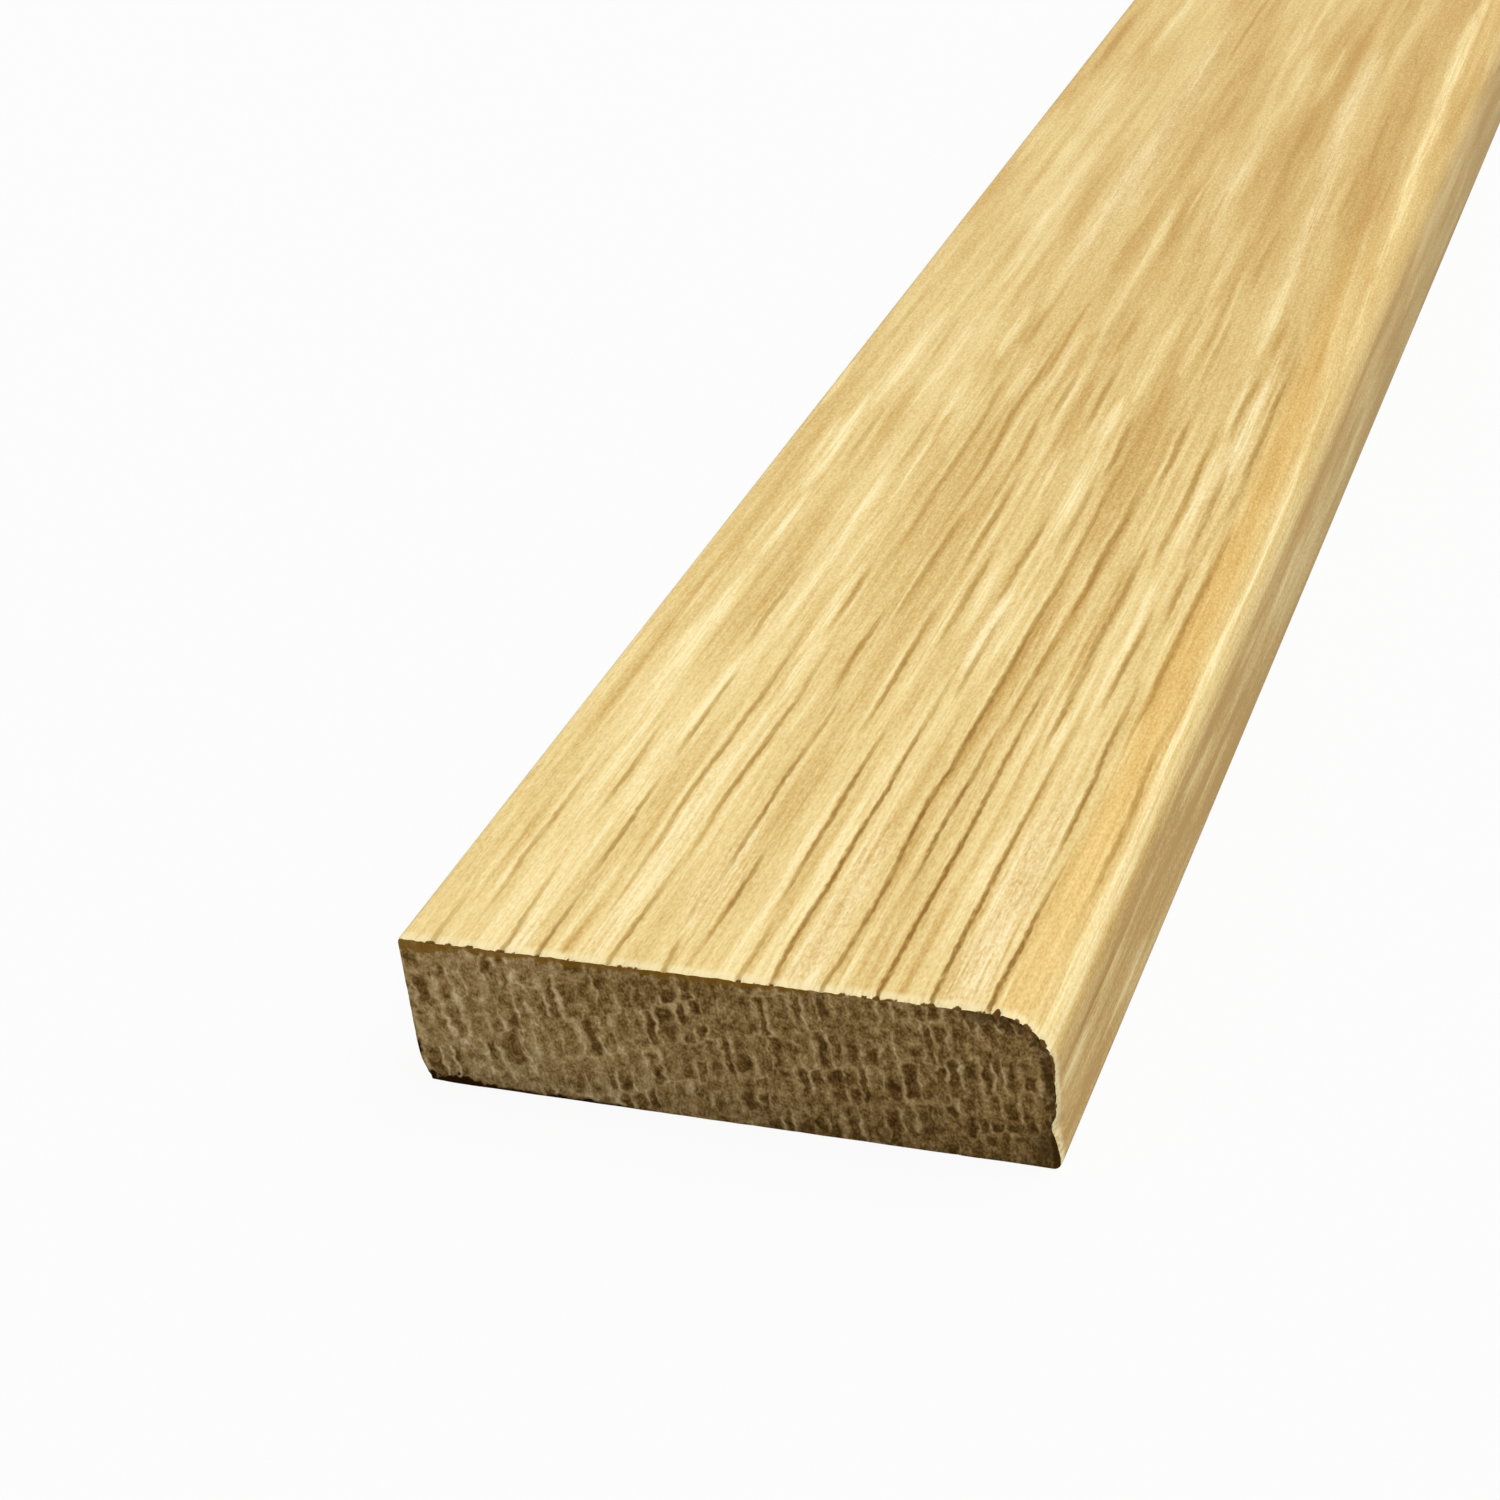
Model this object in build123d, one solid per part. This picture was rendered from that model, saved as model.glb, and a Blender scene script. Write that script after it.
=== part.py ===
from build123d import *
import os

# A window reveal trim: one length of solid oak, planed to a flat section, with one long edge
# of its show face rounded over and its other long edge left square.
# Millimetres. The trim lies on its back: X runs across the width with the rounded edge at +X,
# Y runs along the grain, Z is up, and the origin is the middle of the back face.

LENGTH = 1200.0
WIDTH = 46.0
THICKNESS = 12.0

# The nose is a quarter round that runs smoothly into the show face and the front edge.
NOSE_RADIUS = 4.0

# The other three long arrises are only eased: the show face's a touch, the back's a little more.
FACE_ARRIS_RADIUS = 0.4
BACK_ARRIS_RADIUS = 0.6


def trim_section():
    """The section across the grain, seen from the near end: back below, nose at the top right."""
    square_x = -WIDTH / 2
    nose_x = WIDTH / 2
    corners = [(square_x, 0), (nose_x, 0), (nose_x, THICKNESS), (square_x, THICKNESS)]
    corner_radii = [BACK_ARRIS_RADIUS, BACK_ARRIS_RADIUS, NOSE_RADIUS, FACE_ARRIS_RADIUS]
    with BuildSketch(Plane.XZ) as section:
        with BuildLine():
            FilletPolyline(*corners, radius=corner_radii, close=True)
        make_face()
    return section.sketch


def reveal_trim():
    """The section run along the grain, half the length each way, with both ends sawn square."""
    return extrude(trim_section(), amount=LENGTH / 2, both=True)


os.makedirs("parts", exist_ok=True)
export_step(reveal_trim(), "parts/reveal_trim.step")
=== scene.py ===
import math

import bpy
import numpy as np
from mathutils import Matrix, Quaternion, Vector
from mathutils.geometry import delaunay_2d_cdt


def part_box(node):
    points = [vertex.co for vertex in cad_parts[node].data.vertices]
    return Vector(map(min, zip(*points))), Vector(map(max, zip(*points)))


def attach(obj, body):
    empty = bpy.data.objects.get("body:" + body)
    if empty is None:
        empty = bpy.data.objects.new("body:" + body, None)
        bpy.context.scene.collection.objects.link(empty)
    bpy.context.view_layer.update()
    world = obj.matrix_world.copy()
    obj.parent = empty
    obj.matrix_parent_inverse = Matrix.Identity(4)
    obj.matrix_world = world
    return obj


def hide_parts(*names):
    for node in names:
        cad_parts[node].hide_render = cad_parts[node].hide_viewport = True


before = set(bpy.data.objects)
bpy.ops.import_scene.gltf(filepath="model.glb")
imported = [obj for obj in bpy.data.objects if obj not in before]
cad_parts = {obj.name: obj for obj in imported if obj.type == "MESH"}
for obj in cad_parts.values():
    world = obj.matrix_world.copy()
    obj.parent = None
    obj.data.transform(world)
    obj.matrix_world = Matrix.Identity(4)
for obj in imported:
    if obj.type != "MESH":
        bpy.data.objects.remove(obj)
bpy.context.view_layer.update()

# Sizes in millimetres. The trim lies on its back: X across, Y along the grain, Z up.
MM = 0.001
low_corner, high_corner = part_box("reveal_trim")
WIDTH, LENGTH, THICKNESS = (high_corner - low_corner) / MM
LEFT, RIGHT, TOP = -WIDTH / 2, WIDTH / 2, THICKNESS
NEAR_END = -LENGTH / 2
NOSE_RADIUS = 4.0
FACE_ARRIS_RADIUS = 0.4
BACK_ARRIS_RADIUS = 0.6

# Spacing of the mesh round the section: fine where the grain shows, coarse on the back.
FACE_STEP = 0.15
NOSE_STEP = 0.13
EDGE_STEP = 0.4
BACK_STEP = 1.6
ARRIS_STEP = 0.2

# Spacing of the mesh along the grain: steps grow from a sawn end, and are short near the camera.
FIRST_STEP = 0.08
STEP_GROWTH = 1.3
END_STEPS = 11
NEAR_STRETCHES = [(60.0, 1.0), (120.0, 1.7), (215.0, 2.8)]
FAR_ROWS = 40
CAP_STEP = 0.36

# The growth rings on the sawn end are arcs about the tree's pith, and the rays between their cells
# point to a place farther off. A row of cells has a height and a start. A cell has a width, and the
# cells narrow from the square edge to the rounded one.
PITH_X, PITH_Z = 70.0, -240.0
RAY_PITH_X, RAY_PITH_Z = 65.0, -500.0
CELL_WIDTH, ROW_HEIGHT, ROW_START = 1.15, 3.1, 0.2
CELL_NARROWING = 0.0032

# A pore's mask falls to nothing this far from its middle, and a pore is pressed in this deep.
PORE_REACH = 0.37
PORE_DEPTH = 0.012

# A pore runs on past both ends by this share of its length, and grows wider by a share over a
# stretch from the near end.
PORE_SPARE = 0.12
PORE_WIDENING, WIDENING_START, WIDENING_LENGTH = 0.3, 25.0, 40.0

# Beside a pore the wood is tan on one flank, with a strength and a width, and cream on both, with
# a strength, a distance from the pore and a half width. They are laid as far out as a reach.
FLANK_REACH = 2.5
TAN_STRENGTH, TAN_WIDTH = 0.4, 0.45
CREAM_FLANKS = [(0.6, -0.48, 0.2), (0.4, 0.85, 0.25)]

# The grain leans to the square edge between two distances from the near end. The lean grows across
# the face, from nothing at one place to its full size at another.
LEAN = 4.0
LEAN_START, LEAN_END = 60.0, 200.0
LEAN_LEFT, LEAN_RIGHT = -20.0, 22.0

# The grain also swings from side to side: how far, and the size of a swing across and along.
SWINGS = [(0.55, 9.0, 34.0), (0.4, 4.0, 11.0), (0.22, 2.0, 4.0)]

# The rims of the sawn ends are eased, and broken into teeth that are larger where a pore is cut.
# A reach runs along the grain. The nose, from a little before its round, is the most ragged, and
# the hidden sides are the least. A break about as deep as CHIP_DEPTH shows dark.
EASING_DEPTH, EASING_REACH = 0.04, 0.15
TOOTH_DEPTH, PORE_TOOTH_DEPTH, TOOTH_REACH = 0.4, 0.12, 0.4
NOSE_RAGGED, FACE_RAGGED, HIDDEN_RAGGED = 1.1, 0.9, 0.1
NOSE_LEAD = 3.2
CHIP_DEPTH = 0.16

# The near end has lost a splinter at the start of the nose and one low on its front edge, and its
# lower left corner is broken.
NOTCH_X, NOTCH_DEPTH, NOTCH_HALF_WIDTH, NOTCH_REACH = 19.35, 0.45, 0.22, 0.5
SPLINTER_Z, SPLINTER_DEPTH, SPLINTER_REACH = 3.3, 0.4, 1.1
SPLINTER_HALF_WIDTH, SPLINTER_HALF_HEIGHT = 0.4, 0.9
CORNER_INWARD, CORNER_UP, CORNER_REACH = 0.5, 0.25, 1.0

# The rim of a sawn end is drawn back in lumps, and the face inside it is sunk a little and rough.
PULL_DEPTH, PULL_WIDTH, PULL_REACH = 0.09, 0.5, 0.4
CAP_SINK, CAP_RELIEF = 0.01, 0.05

# The unrolled map has the long sides above one height, and the sawn ends side by side below a
# lower one.
SIDES_MAP_LOW, CAPS_MAP_HIGH = 0.1, 0.09
NEAR_CAP_MAP, FAR_CAP_MAP = (0.0, 0.74), (0.76, 1.0)

# Camera of the photograph: its place, the point on the show face that it looks at, its roll, its
# lens, and how close it sees, in metres.
CAMERA_AT = (68.08, NEAR_END - 145.01, 121.92)
CAMERA_TARGET = (-7.50, NEAR_END + 27.96, 12.0)
CAMERA_ROLL = -6.88
SENSOR_WIDTH = 36.0
LENS = 71.27
CLIP_START = 0.005

# Seeds of what is at random, with the near end's before the far end's.
GRAIN_SEED = 7
TEETH_SEEDS = (11, 12)
CORNER_SEED = 21
PULL_SEEDS = (31, 32)
CAP_SEEDS = (41, 42)

# Masks of the grain, which the mesh carries for its materials.
MASK_NAMES = ("pore", "depth", "cream", "tan", "amber", "flake", "chip")

# Dark lines in the grain near the sawn end, read one by one: place across, start and end from the
# near end in mm, and strength. A line that starts below zero is cut by the saw.
PORE_LINES = [
    (-20.4, -8, 7, 0.50), (-18.3, 4, 26, 0.50), (-15.1, -9, 10, 0.60), (-15.3, 17, 30, 0.50),
    (-12.2, -9, 9, 0.60), (-12.5, 8, 24, 0.60), (-12.4, 25, 39, 0.50), (-9.5, 8, 47, 0.55),
    (-7.1, -8, 13, 0.65), (-6.7, 13, 43, 0.60), (-3.6, -3, 4, 0.70), (-3.5, 9, 37, 0.65),
    (-4.2, 37, 50, 0.55), (-1.8, 4, 15, 0.70), (-0.5, 32, 52, 0.65), (1.8, -6, 7, 0.55),
    (1.3, 9, 34, 0.70), (4.0, -15, 41, 0.80), (5.1, 38, 52, 0.55), (7.95, -20, 76, 0.80),
    (9.8, 12, 33, 0.80), (10.2, 35, 51, 0.55), (11.5, -20, 43, 0.95), (13.8, 32, 46, 0.65),
    (15.0, -15, 35, 0.80), (16.4, 38, 53, 0.70), (18.2, 16, 41, 0.70), (19.05, -15, 17, 0.95),
    (19.4, 33, 69, 0.65), (21.7, 11, 39, 0.50), (-13.4, 42, 57, 0.50), (-16.2, 74, 89, 0.35),
    (-11.2, 75, 88, 0.35), (-7.7, 48, 57, 0.50), (-6.8, 62, 99, 0.45), (-4.2, 68, 104, 0.50),
    (-3.1, 49, 68, 0.65), (-1.5, 78, 87, 0.55), (-0.6, 86, 97, 0.55), (-0.35, 59, 75, 0.65),
    (1.35, 46, 61, 0.65), (3.0, 84, 99, 0.50), (4.0, 53, 68, 0.75), (6.3, 60, 77, 0.55),
    (6.8, 76, 88, 0.60), (10.3, 51, 75, 0.80), (11.6, 75, 88, 0.65), (13.5, 41, 65, 0.80),
    (14.7, 61, 86, 0.60), (15.8, 85, 99, 0.50), (17.1, 62, 81, 0.55), (17.7, 52, 61, 0.60),
    (18.5, 69, 102, 0.65), (26.5, -8, 26, 0.30), (25.0, 58, 82, 0.25),
]

# Streaks read one by one: place across, start, end, half width and strength.
CREAM_STREAKS = [
    (-21.9, -12, 60, 0.45, 0.35), (-16.7, 16, 38, 0.7, 0.65), (-16.6, -8, 17, 0.5, 0.45),
    (-14.6, -12, 15, 0.5, 0.95), (-13.6, -6, 3, 0.8, 0.8), (-13.7, 12, 33, 0.5, 0.55),
    (-11.0, 1, 13, 0.4, 0.45), (-9.0, -12, 38, 0.3, 0.7), (-8.1, -12, 42, 0.45, 0.7),
    (-6.1, 12, 29, 0.3, 0.7), (0.6, -12, 30, 0.35, 0.6), (2.9, -12, 30, 0.4, 0.4),
    (5.3, 14, 32, 0.3, 0.45), (6.8, -5, 3, 0.5, 0.9), (8.8, -8, 11, 0.35, 0.6),
    (9.2, 11, 34, 0.3, 0.6), (12.5, 11, 60, 0.32, 0.6), (14.1, 5, 30, 0.3, 0.6),
    (15.8, 3, 22, 0.3, 0.9), (17.4, -12, 12, 0.9, 0.5), (18.0, 9, 32, 0.2, 0.7),
    (19.7, -8, 8, 0.2, 0.7), (-17.6, 27, 58, 0.85, 0.7), (-13.0, 28, 43, 0.5, 0.75),
    (-11.5, 42, 72, 0.4, 0.5), (-11.8, 60, 77, 0.4, 0.75), (-8.6, 40, 58, 0.5, 0.85),
    (-8.0, 34, 47, 0.7, 0.6), (-10.1, 69, 86, 0.4, 0.85), (-10.4, 84, 97, 0.5, 0.75),
    (-9.9, 53, 67, 0.35, 0.7), (-8.5, 79, 97, 0.7, 0.5), (-17.6, 57, 71, 0.4, 0.75),
    (-19.2, 59, 71, 0.3, 0.5), (-18.3, 70, 91, 0.7, 0.75), (-17.4, 87, 112, 0.6, 0.65),
    (-13.8, 87, 112, 0.45, 0.55), (-5.8, 29, 41, 0.4, 0.5), (0.7, 30, 61, 0.4, 0.6),
    (0.6, 60, 86, 0.3, 0.55), (2.3, 69, 81, 0.3, 0.65), (2.6, 47, 61, 0.4, 0.6),
    (4.7, 41, 57, 0.5, 0.65), (6.2, 39, 57, 0.4, 0.6), (5.2, 61, 83, 0.6, 0.85),
    (4.9, 81, 93, 0.5, 0.8), (5.4, 89, 116, 0.8, 0.65), (7.4, 57, 69, 0.3, 0.5),
    (9.6, 29, 63, 0.35, 0.55), (12.4, 60, 91, 0.3, 0.5), (14.3, 30, 37, 0.3, 0.9),
    (15.6, 35, 63, 0.5, 0.8), (15.7, 61, 86, 0.6, 0.8), (15.1, 84, 99, 0.3, 0.7),
    (17.0, 74, 106, 0.65, 0.75), (18.6, 37, 70, 0.38, 0.75), (-17.3, 132, 188, 0.9, 0.6),
    (-9.2, 99, 113, 0.7, 0.8), (-8.5, 113, 163, 1.0, 0.55), (-1.0, 118, 147, 0.6, 0.55),
    (3.4, 128, 157, 0.8, 0.6), (3.0, 173, 192, 0.8, 0.5), (14.2, 102, 128, 0.7, 0.75),
    (12.9, 122, 158, 0.7, 0.65), (11.1, 148, 192, 0.8, 0.65), (22.75, -40, 105, 0.36, 0.95),
    (19.9, 100, 260, 0.7, 0.95), (23.4, -30, 40, 0.5, 0.5), (27.4, 1, 9, 0.5, 1.0),
    (27.2, 10, 20, 0.5, 1.0), (27.0, 18, 28, 0.45, 0.9), (26.9, 34, 46, 0.45, 0.8),
    (26.5, 52, 66, 0.4, 0.6), (30.8, 11, 24, 0.9, 1.0), (30.0, 38, 52, 0.6, 0.5),
    (29.2, 66, 90, 0.8, 0.5),
]
TAN_STREAKS = [
    (-19.6, 5, 30, 1.0, 0.35), (-14.3, 14, 21, 0.6, 0.3), (-11.3, 9, 33, 1.0, 0.35),
    (-10.3, -8, 10, 0.4, 0.5), (-5.4, -12, 15, 1.0, 0.25), (-1.7, -12, 34, 1.4, 0.2),
    (2.0, 7, 33, 0.5, 0.45), (6.6, 16, 33, 0.8, 0.4), (8.2, 11, 36, 0.45, 0.5),
    (10.4, -12, 36, 0.8, 0.45), (12.8, -12, 16, 0.7, 0.55), (13.2, 13, 34, 0.35, 0.5),
    (-20.4, 22, 100, 1.5, 0.4), (-15.3, 36, 80, 1.4, 0.5), (-14.8, 74, 94, 1.2, 0.45),
    (-6.0, 48, 97, 2.0, 0.3), (-2.0, 30, 97, 1.2, 0.35), (1.8, 29, 56, 0.6, 0.5),
    (8.7, 29, 61, 0.6, 0.3), (8.8, 59, 98, 1.2, 0.4), (10.8, 29, 97, 0.6, 0.45),
    (13.0, 39, 62, 0.4, 0.5), (1.5, 78, 97, 1.0, 0.3), (-15.3, 113, 132, 0.5, 0.5),
    (-11.3, 108, 132, 0.5, 0.5), (-7.5, 102, 113, 0.6, 0.6), (-3.5, 118, 205, 2.4, 0.35),
    (1.7, 101, 113, 0.4, 0.5), (-1.0, 95, 108, 0.6, 0.5), (3.2, 124, 141, 0.4, 0.5),
    (8.3, 98, 172, 1.6, 0.25), (10.5, 118, 137, 0.5, 0.5), (15.8, 102, 111, 0.3, 0.6),
    (16.5, 122, 168, 1.4, 0.25), (26.5, -8, 30, 0.6, 0.35), (25.7, 22, 66, 0.6, 0.4),
]
# Parts where the planed fibres are flaky.
FLAKE_STREAKS = [
    (6.0, -12, 22, 1.4, 0.9), (17.0, -12, 28, 1.3, 1.0), (-14.2, -6, 6, 0.9, 0.6),
    (-3.4, 4, 20, 1.6, 0.5), (-8.4, -6, 30, 0.9, 0.4), (4.5, 40, 56, 1.2, 0.5),
    (17.0, 60, 104, 0.9, 0.6), (-8.0, 120, 200, 1.8, 0.8), (11.0, 148, 194, 1.2, 0.8),
    (-3.0, 150, 200, 2.2, 0.5), (3.2, 122, 162, 1.1, 0.5), (13.2, 116, 152, 0.9, 0.6),
]

# The amber band beside the rounded edge: place across, start, end, half width and strength.
AMBER_BAND = (20.55, -45, 150, 1.35, 0.95)
AMBER_TINT = (0.97, 0.88, 0.72, 1.0)

# Streaks and pores at random, for each stretch from the near end: start, end, shortest, longest,
# widest half width, strongest pore, and how many streaks and pores to a square centimetre.
STRETCHES = [
    (25.0, 100.0, 9.0, 28.0, 0.6, 0.4, 0.8, 0.4), (95.0, 215.0, 18.0, 50.0, 1.0, 0.2, 0.6, 0.3),
    (205.0, LENGTH, 70.0, 220.0, 0.6, 0.6, 0.2, 0.22),
]
# The share of these streaks that is cream, their strengths and least half width, the weakest pore,
# and the least distance from the near end at which a pore starts.
CREAM_SHARE = 0.6
STREAK_STRENGTHS = (0.2, 0.65)
LEAST_HALF_WIDTH = 0.2
WEAKEST_PORE = 0.1
PORES_FROM = 92.0

# Bare wood reflects little of the light that falls on it, and least where it is sawn.
PLANED_GLOSS, SAWN_GLOSS = 0.16, 0.04
SAWN_ROUGHNESS = 0.9

# Tints of the flaky parts, of the front edge, of its foot, whose grey is partly painted shade, of the
# far part and of a pore.
FLAKE_TINT = (1.0, 0.995, 1.07, 1.0)
EDGE_TINT = (0.955, 0.98, 1.06, 1.0)
FOOT_TINT = (0.89, 0.96, 1.06, 1.0)
FAR_TINT = (1.0, 1.02, 1.09, 1.0)
PORE_STAIN = (0.74, 0.66, 0.5, 1.0)

# Colours as screen values from 0 to 255. A scale gives each of its colours a place from 0 to 1.
PLANED_SCALE = [
    (0.0, (194, 152, 80)), (0.28, (216, 181, 110)), (0.55, (234, 206, 139)),
    (0.8, (247, 223, 160)), (1.0, (255, 238, 182)),
]
SAWN_SCALE = [
    (0.0, (80, 54, 20)), (0.28, (127, 96, 50)), (0.52, (177, 144, 91)),
    (0.8, (221, 192, 140)), (1.0, (250, 228, 182)),
]
# A painted highlight along the rims of the sawn ends.
RIM_HIGHLIGHT = (253, 235, 182)
PORE_CORE = (136, 94, 34)
CHIP = (102, 70, 24)
# A painted contact shadow along the foot of the long edges.
PAINTED_CONTACT_SHADOW = (128, 116, 98)
SCORCH = (152, 108, 30)
DARK_BREAK = (64, 42, 6)
# A painted shadow along the foot of the near end.
PAINTED_FOOT_SHADOW = (54, 31, 4)
# A dark spot low on the square edge of the near end.
EDGE_DARK_SPOT = (52, 34, 8)

# The sky's strength, and the lamp's strength, spread in degrees and direction.
SKY_STRENGTH = 0.32
LAMP_STRENGTH = 0.78 * math.pi
LAMP_SPREAD = 50.0
LAMP_FROM = (0.42, 0.36, 1.0)

# The floor's half side and its drop below the trim, in metres, its grey, and how white it looks.
FLOOR_HALF_SIDE, FLOOR_DROP = 6.0, 0.00003
FLOOR_GREY, FLOOR_WHITENESS = 0.62, 0.94


# Section and rows

def straight(start, end, step):
    """Points and outward normals along a straight stretch, clockwise, without its last point."""
    start, end = np.array(start), np.array(end)
    run = end - start
    length = np.hypot(*run)
    share = np.arange(round(length / step)) / round(length / step)
    normal = np.array([-run[1], run[0]]) / length
    return start + share[:, None] * run, np.tile(normal, (share.size, 1))


def quarter(centre, radius, start_angle, step):
    """Points and outward normals round a quarter circle, clockwise, without its last point."""
    count = max(3, round(radius * math.pi / 2 / step))
    angle = math.radians(start_angle) - np.arange(count) / count * math.pi / 2
    normals = np.stack([np.cos(angle), np.sin(angle)], 1)
    return np.array(centre) + radius * normals, normals


def section_outline():
    """Places across, points and outward normals round the section, clockwise from the near end.

    A place across is a length round the section. On the flat of the show face it equals X.
    """
    nose, face, back = NOSE_RADIUS, FACE_ARRIS_RADIUS, BACK_ARRIS_RADIUS
    stretches = [
        straight((LEFT + face, TOP), (RIGHT - nose, TOP), FACE_STEP),
        quarter((RIGHT - nose, TOP - nose), nose, 90, NOSE_STEP),
        straight((RIGHT, TOP - nose), (RIGHT, back), EDGE_STEP),
        quarter((RIGHT - back, back), back, 0, ARRIS_STEP),
        straight((RIGHT - back, 0), (LEFT + back, 0), BACK_STEP),
        quarter((LEFT + back, back), back, -90, ARRIS_STEP),
        straight((LEFT, back), (LEFT, TOP - face), EDGE_STEP),
        quarter((LEFT + face, TOP - face), face, 180, ARRIS_STEP),
    ]
    points = np.concatenate([stretch[0] for stretch in stretches])
    normals = np.concatenate([stretch[1] for stretch in stretches])
    gaps = np.hypot(*np.diff(points, axis=0).T)
    across = LEFT + face + np.concatenate([[0], np.cumsum(gaps)])
    return across, points, normals


def rows_along():
    """Distances of the mesh's rows from the near end."""
    end = np.concatenate([[0], np.cumsum(FIRST_STEP * STEP_GROWTH ** np.arange(END_STEPS))])
    rows = [end]
    for reach, step in NEAR_STRETCHES:
        rows.append(np.arange(rows[-1][-1] + step, reach, step))
    rows.append(np.linspace(NEAR_STRETCHES[-1][0], LENGTH - end[-1], FAR_ROWS, endpoint=False))
    return np.concatenate(rows + [LENGTH - end[::-1]])


def value_noise(u, v, seed):
    """Smooth random values from 0 to 1 that change from one whole number to the next."""
    size = 128
    lattice = np.random.default_rng(seed).random((size, size))
    u, v = np.broadcast_arrays(np.asarray(u, float), np.asarray(v, float))
    column, row = np.floor(u).astype(int), np.floor(v).astype(int)
    part_u, part_v = u - column, v - row
    part_u = part_u * part_u * (3 - 2 * part_u)
    part_v = part_v * part_v * (3 - 2 * part_v)

    def corner(right, up):
        return lattice[(column + right) % size, (row + up) % size]

    low = corner(0, 0) * (1 - part_u) + corner(1, 0) * part_u
    high = corner(0, 1) * (1 - part_u) + corner(1, 1) * part_u
    return low * (1 - part_v) + high * part_v


def line_noise(places, step, seed):
    """Smooth random values from 0 to 1 along a line, that change over so many mm."""
    return value_noise(places / step, 0.5, seed)


# Grain lines

def drift(place, along):
    """How far the grain has leaned towards the square edge, away from the near end, in mm."""
    share = np.clip((along - LEAN_START) / (LEAN_END - LEAN_START), 0, 1)
    across_share = np.clip((place - LEAN_LEFT) / (LEAN_RIGHT - LEAN_LEFT), 0, 1)
    return LEAN * share * share * (3 - 2 * share) * across_share


def wander(place, along):
    """How far the grain swings to one side, in mm."""
    swing = 0.0
    for number, (reach, across_size, along_size) in enumerate(SWINGS):
        noise = value_noise(place / across_size, along / along_size, GRAIN_SEED + number)
        swing = swing + reach * (noise - 0.5)
    return swing


class Grain:
    """Masks of the grain on the mesh's grid, from 0 to 1."""

    def __init__(self, along, across):
        self.along, self.across = along, across
        self.masks = {name: np.zeros((along.size, across.size)) for name in MASK_NAMES}

    def window(self, place, start, end, reach):
        """The part of the grid round a line: its slices, offsets across and taper along."""
        rows = slice(*np.searchsorted(self.along, (start, end)))
        along = self.along[rows]
        lean = drift(place, along) - drift(place, (start + end) / 2)
        middle = place + wander(place, along) - lean
        columns = slice(*np.searchsorted(self.across, (middle.min() - reach, middle.max() + reach)))
        offset = self.across[columns][None] - middle[:, None]
        share = (along - start) / (end - start)
        return (rows, columns), offset, np.clip(4 * share * (1 - share), 0, 1)[:, None]

    def lay(self, name, part, value):
        """Lays a value over part of a mask, where it is the stronger."""
        self.masks[name][part] = np.maximum(self.masks[name][part], value)

    def add_pore(self, place, start, end, strength):
        """A dark pore that narrows to both ends, with tan on one flank and cream on both."""
        spare = PORE_SPARE * (end - start)
        part, offset, taper = self.window(place, start - spare, end + spare, FLANK_REACH)
        weight = strength * taper ** 0.9
        farther = np.clip((self.along[part[0]] - WIDENING_START) / WIDENING_LENGTH, 0, 1)
        spread = 1 + PORE_WIDENING * farther[:, None]
        close = np.clip(1 - np.abs(offset) / (PORE_REACH * spread * (0.35 + 0.65 * taper)), 0, 1)
        closer = close > self.masks["pore"][part]
        self.masks["depth"][part] = np.where(closer, weight, self.masks["depth"][part])
        self.lay("pore", part, close)
        side = 1 if value_noise(place * 3.1, start / 7, GRAIN_SEED) > 0.35 else -1
        tan = TAN_STRENGTH * weight * np.exp(-np.abs(offset) / TAN_WIDTH)
        self.lay("tan", part, tan * (side * offset > 0))
        for share, middle, half_width in CREAM_FLANKS:
            near = np.exp(-((side * offset - middle) / half_width) ** 2)
            self.lay("cream", part, share * weight * near)

    def add_streak(self, name, place, start, end, half_width, strength):
        """A soft streak of another colour, uneven along its edges."""
        part, offset, taper = self.window(place, start, end, 2 * half_width)
        swell = 0.7 + 0.6 * value_noise(place * 2.3, self.along[part[0]] / 8, GRAIN_SEED + 3)
        reach = half_width * swell[:, None] * (0.4 + 0.6 * taper)
        self.lay(name, part, strength * taper ** 0.5 * np.exp(-np.abs(offset / reach) ** 3))


def oak_grain(along, across):
    """The grain of the whole strip: read one by one near the camera, at random elsewhere."""
    grain = Grain(along, across)
    rng = np.random.default_rng(GRAIN_SEED)
    for line in PORE_LINES:
        grain.add_pore(*line)
    for name, streaks in (("cream", CREAM_STREAKS), ("tan", TAN_STREAKS), ("flake", FLAKE_STREAKS)):
        for streak in streaks:
            grain.add_streak(name, *streak)
    grain.add_streak("amber", *AMBER_BAND)
    span = across[-1] - across[0]
    for low, high, shortest, longest, widest, strongest, streaks, pores in STRETCHES:
        area = span * (high - low) / 100
        for _ in range(int(area * streaks)):
            name = "cream" if rng.random() < CREAM_SHARE else "tan"
            place, start = across[0] + span * rng.random(), rng.uniform(low, high)
            length, half_width = rng.uniform(shortest, longest), rng.uniform(LEAST_HALF_WIDTH, widest)
            strength = rng.uniform(*STREAK_STRENGTHS)
            grain.add_streak(name, place, start, start + length, half_width, strength)
        for _ in range(int(area * pores)):
            place, start = across[0] + span * rng.random(), rng.uniform(max(low, PORES_FROM), high)
            length = rng.uniform(shortest, longest)
            grain.add_pore(place, start, start + length, rng.uniform(WEAKEST_PORE, strongest))
    return grain


# Broken ends

def fade(distance, reach):
    """1 at no distance, dying away softly over a reach."""
    return np.exp(-((distance / reach) ** 2))


def mark_chips(grain, depth):
    """Marks the places where a break is deep enough to show dark."""
    chip = np.clip(depth / CHIP_DEPTH - 0.3, 0, 1)
    grain.masks["chip"] = np.maximum(grain.masks["chip"], chip)


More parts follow.
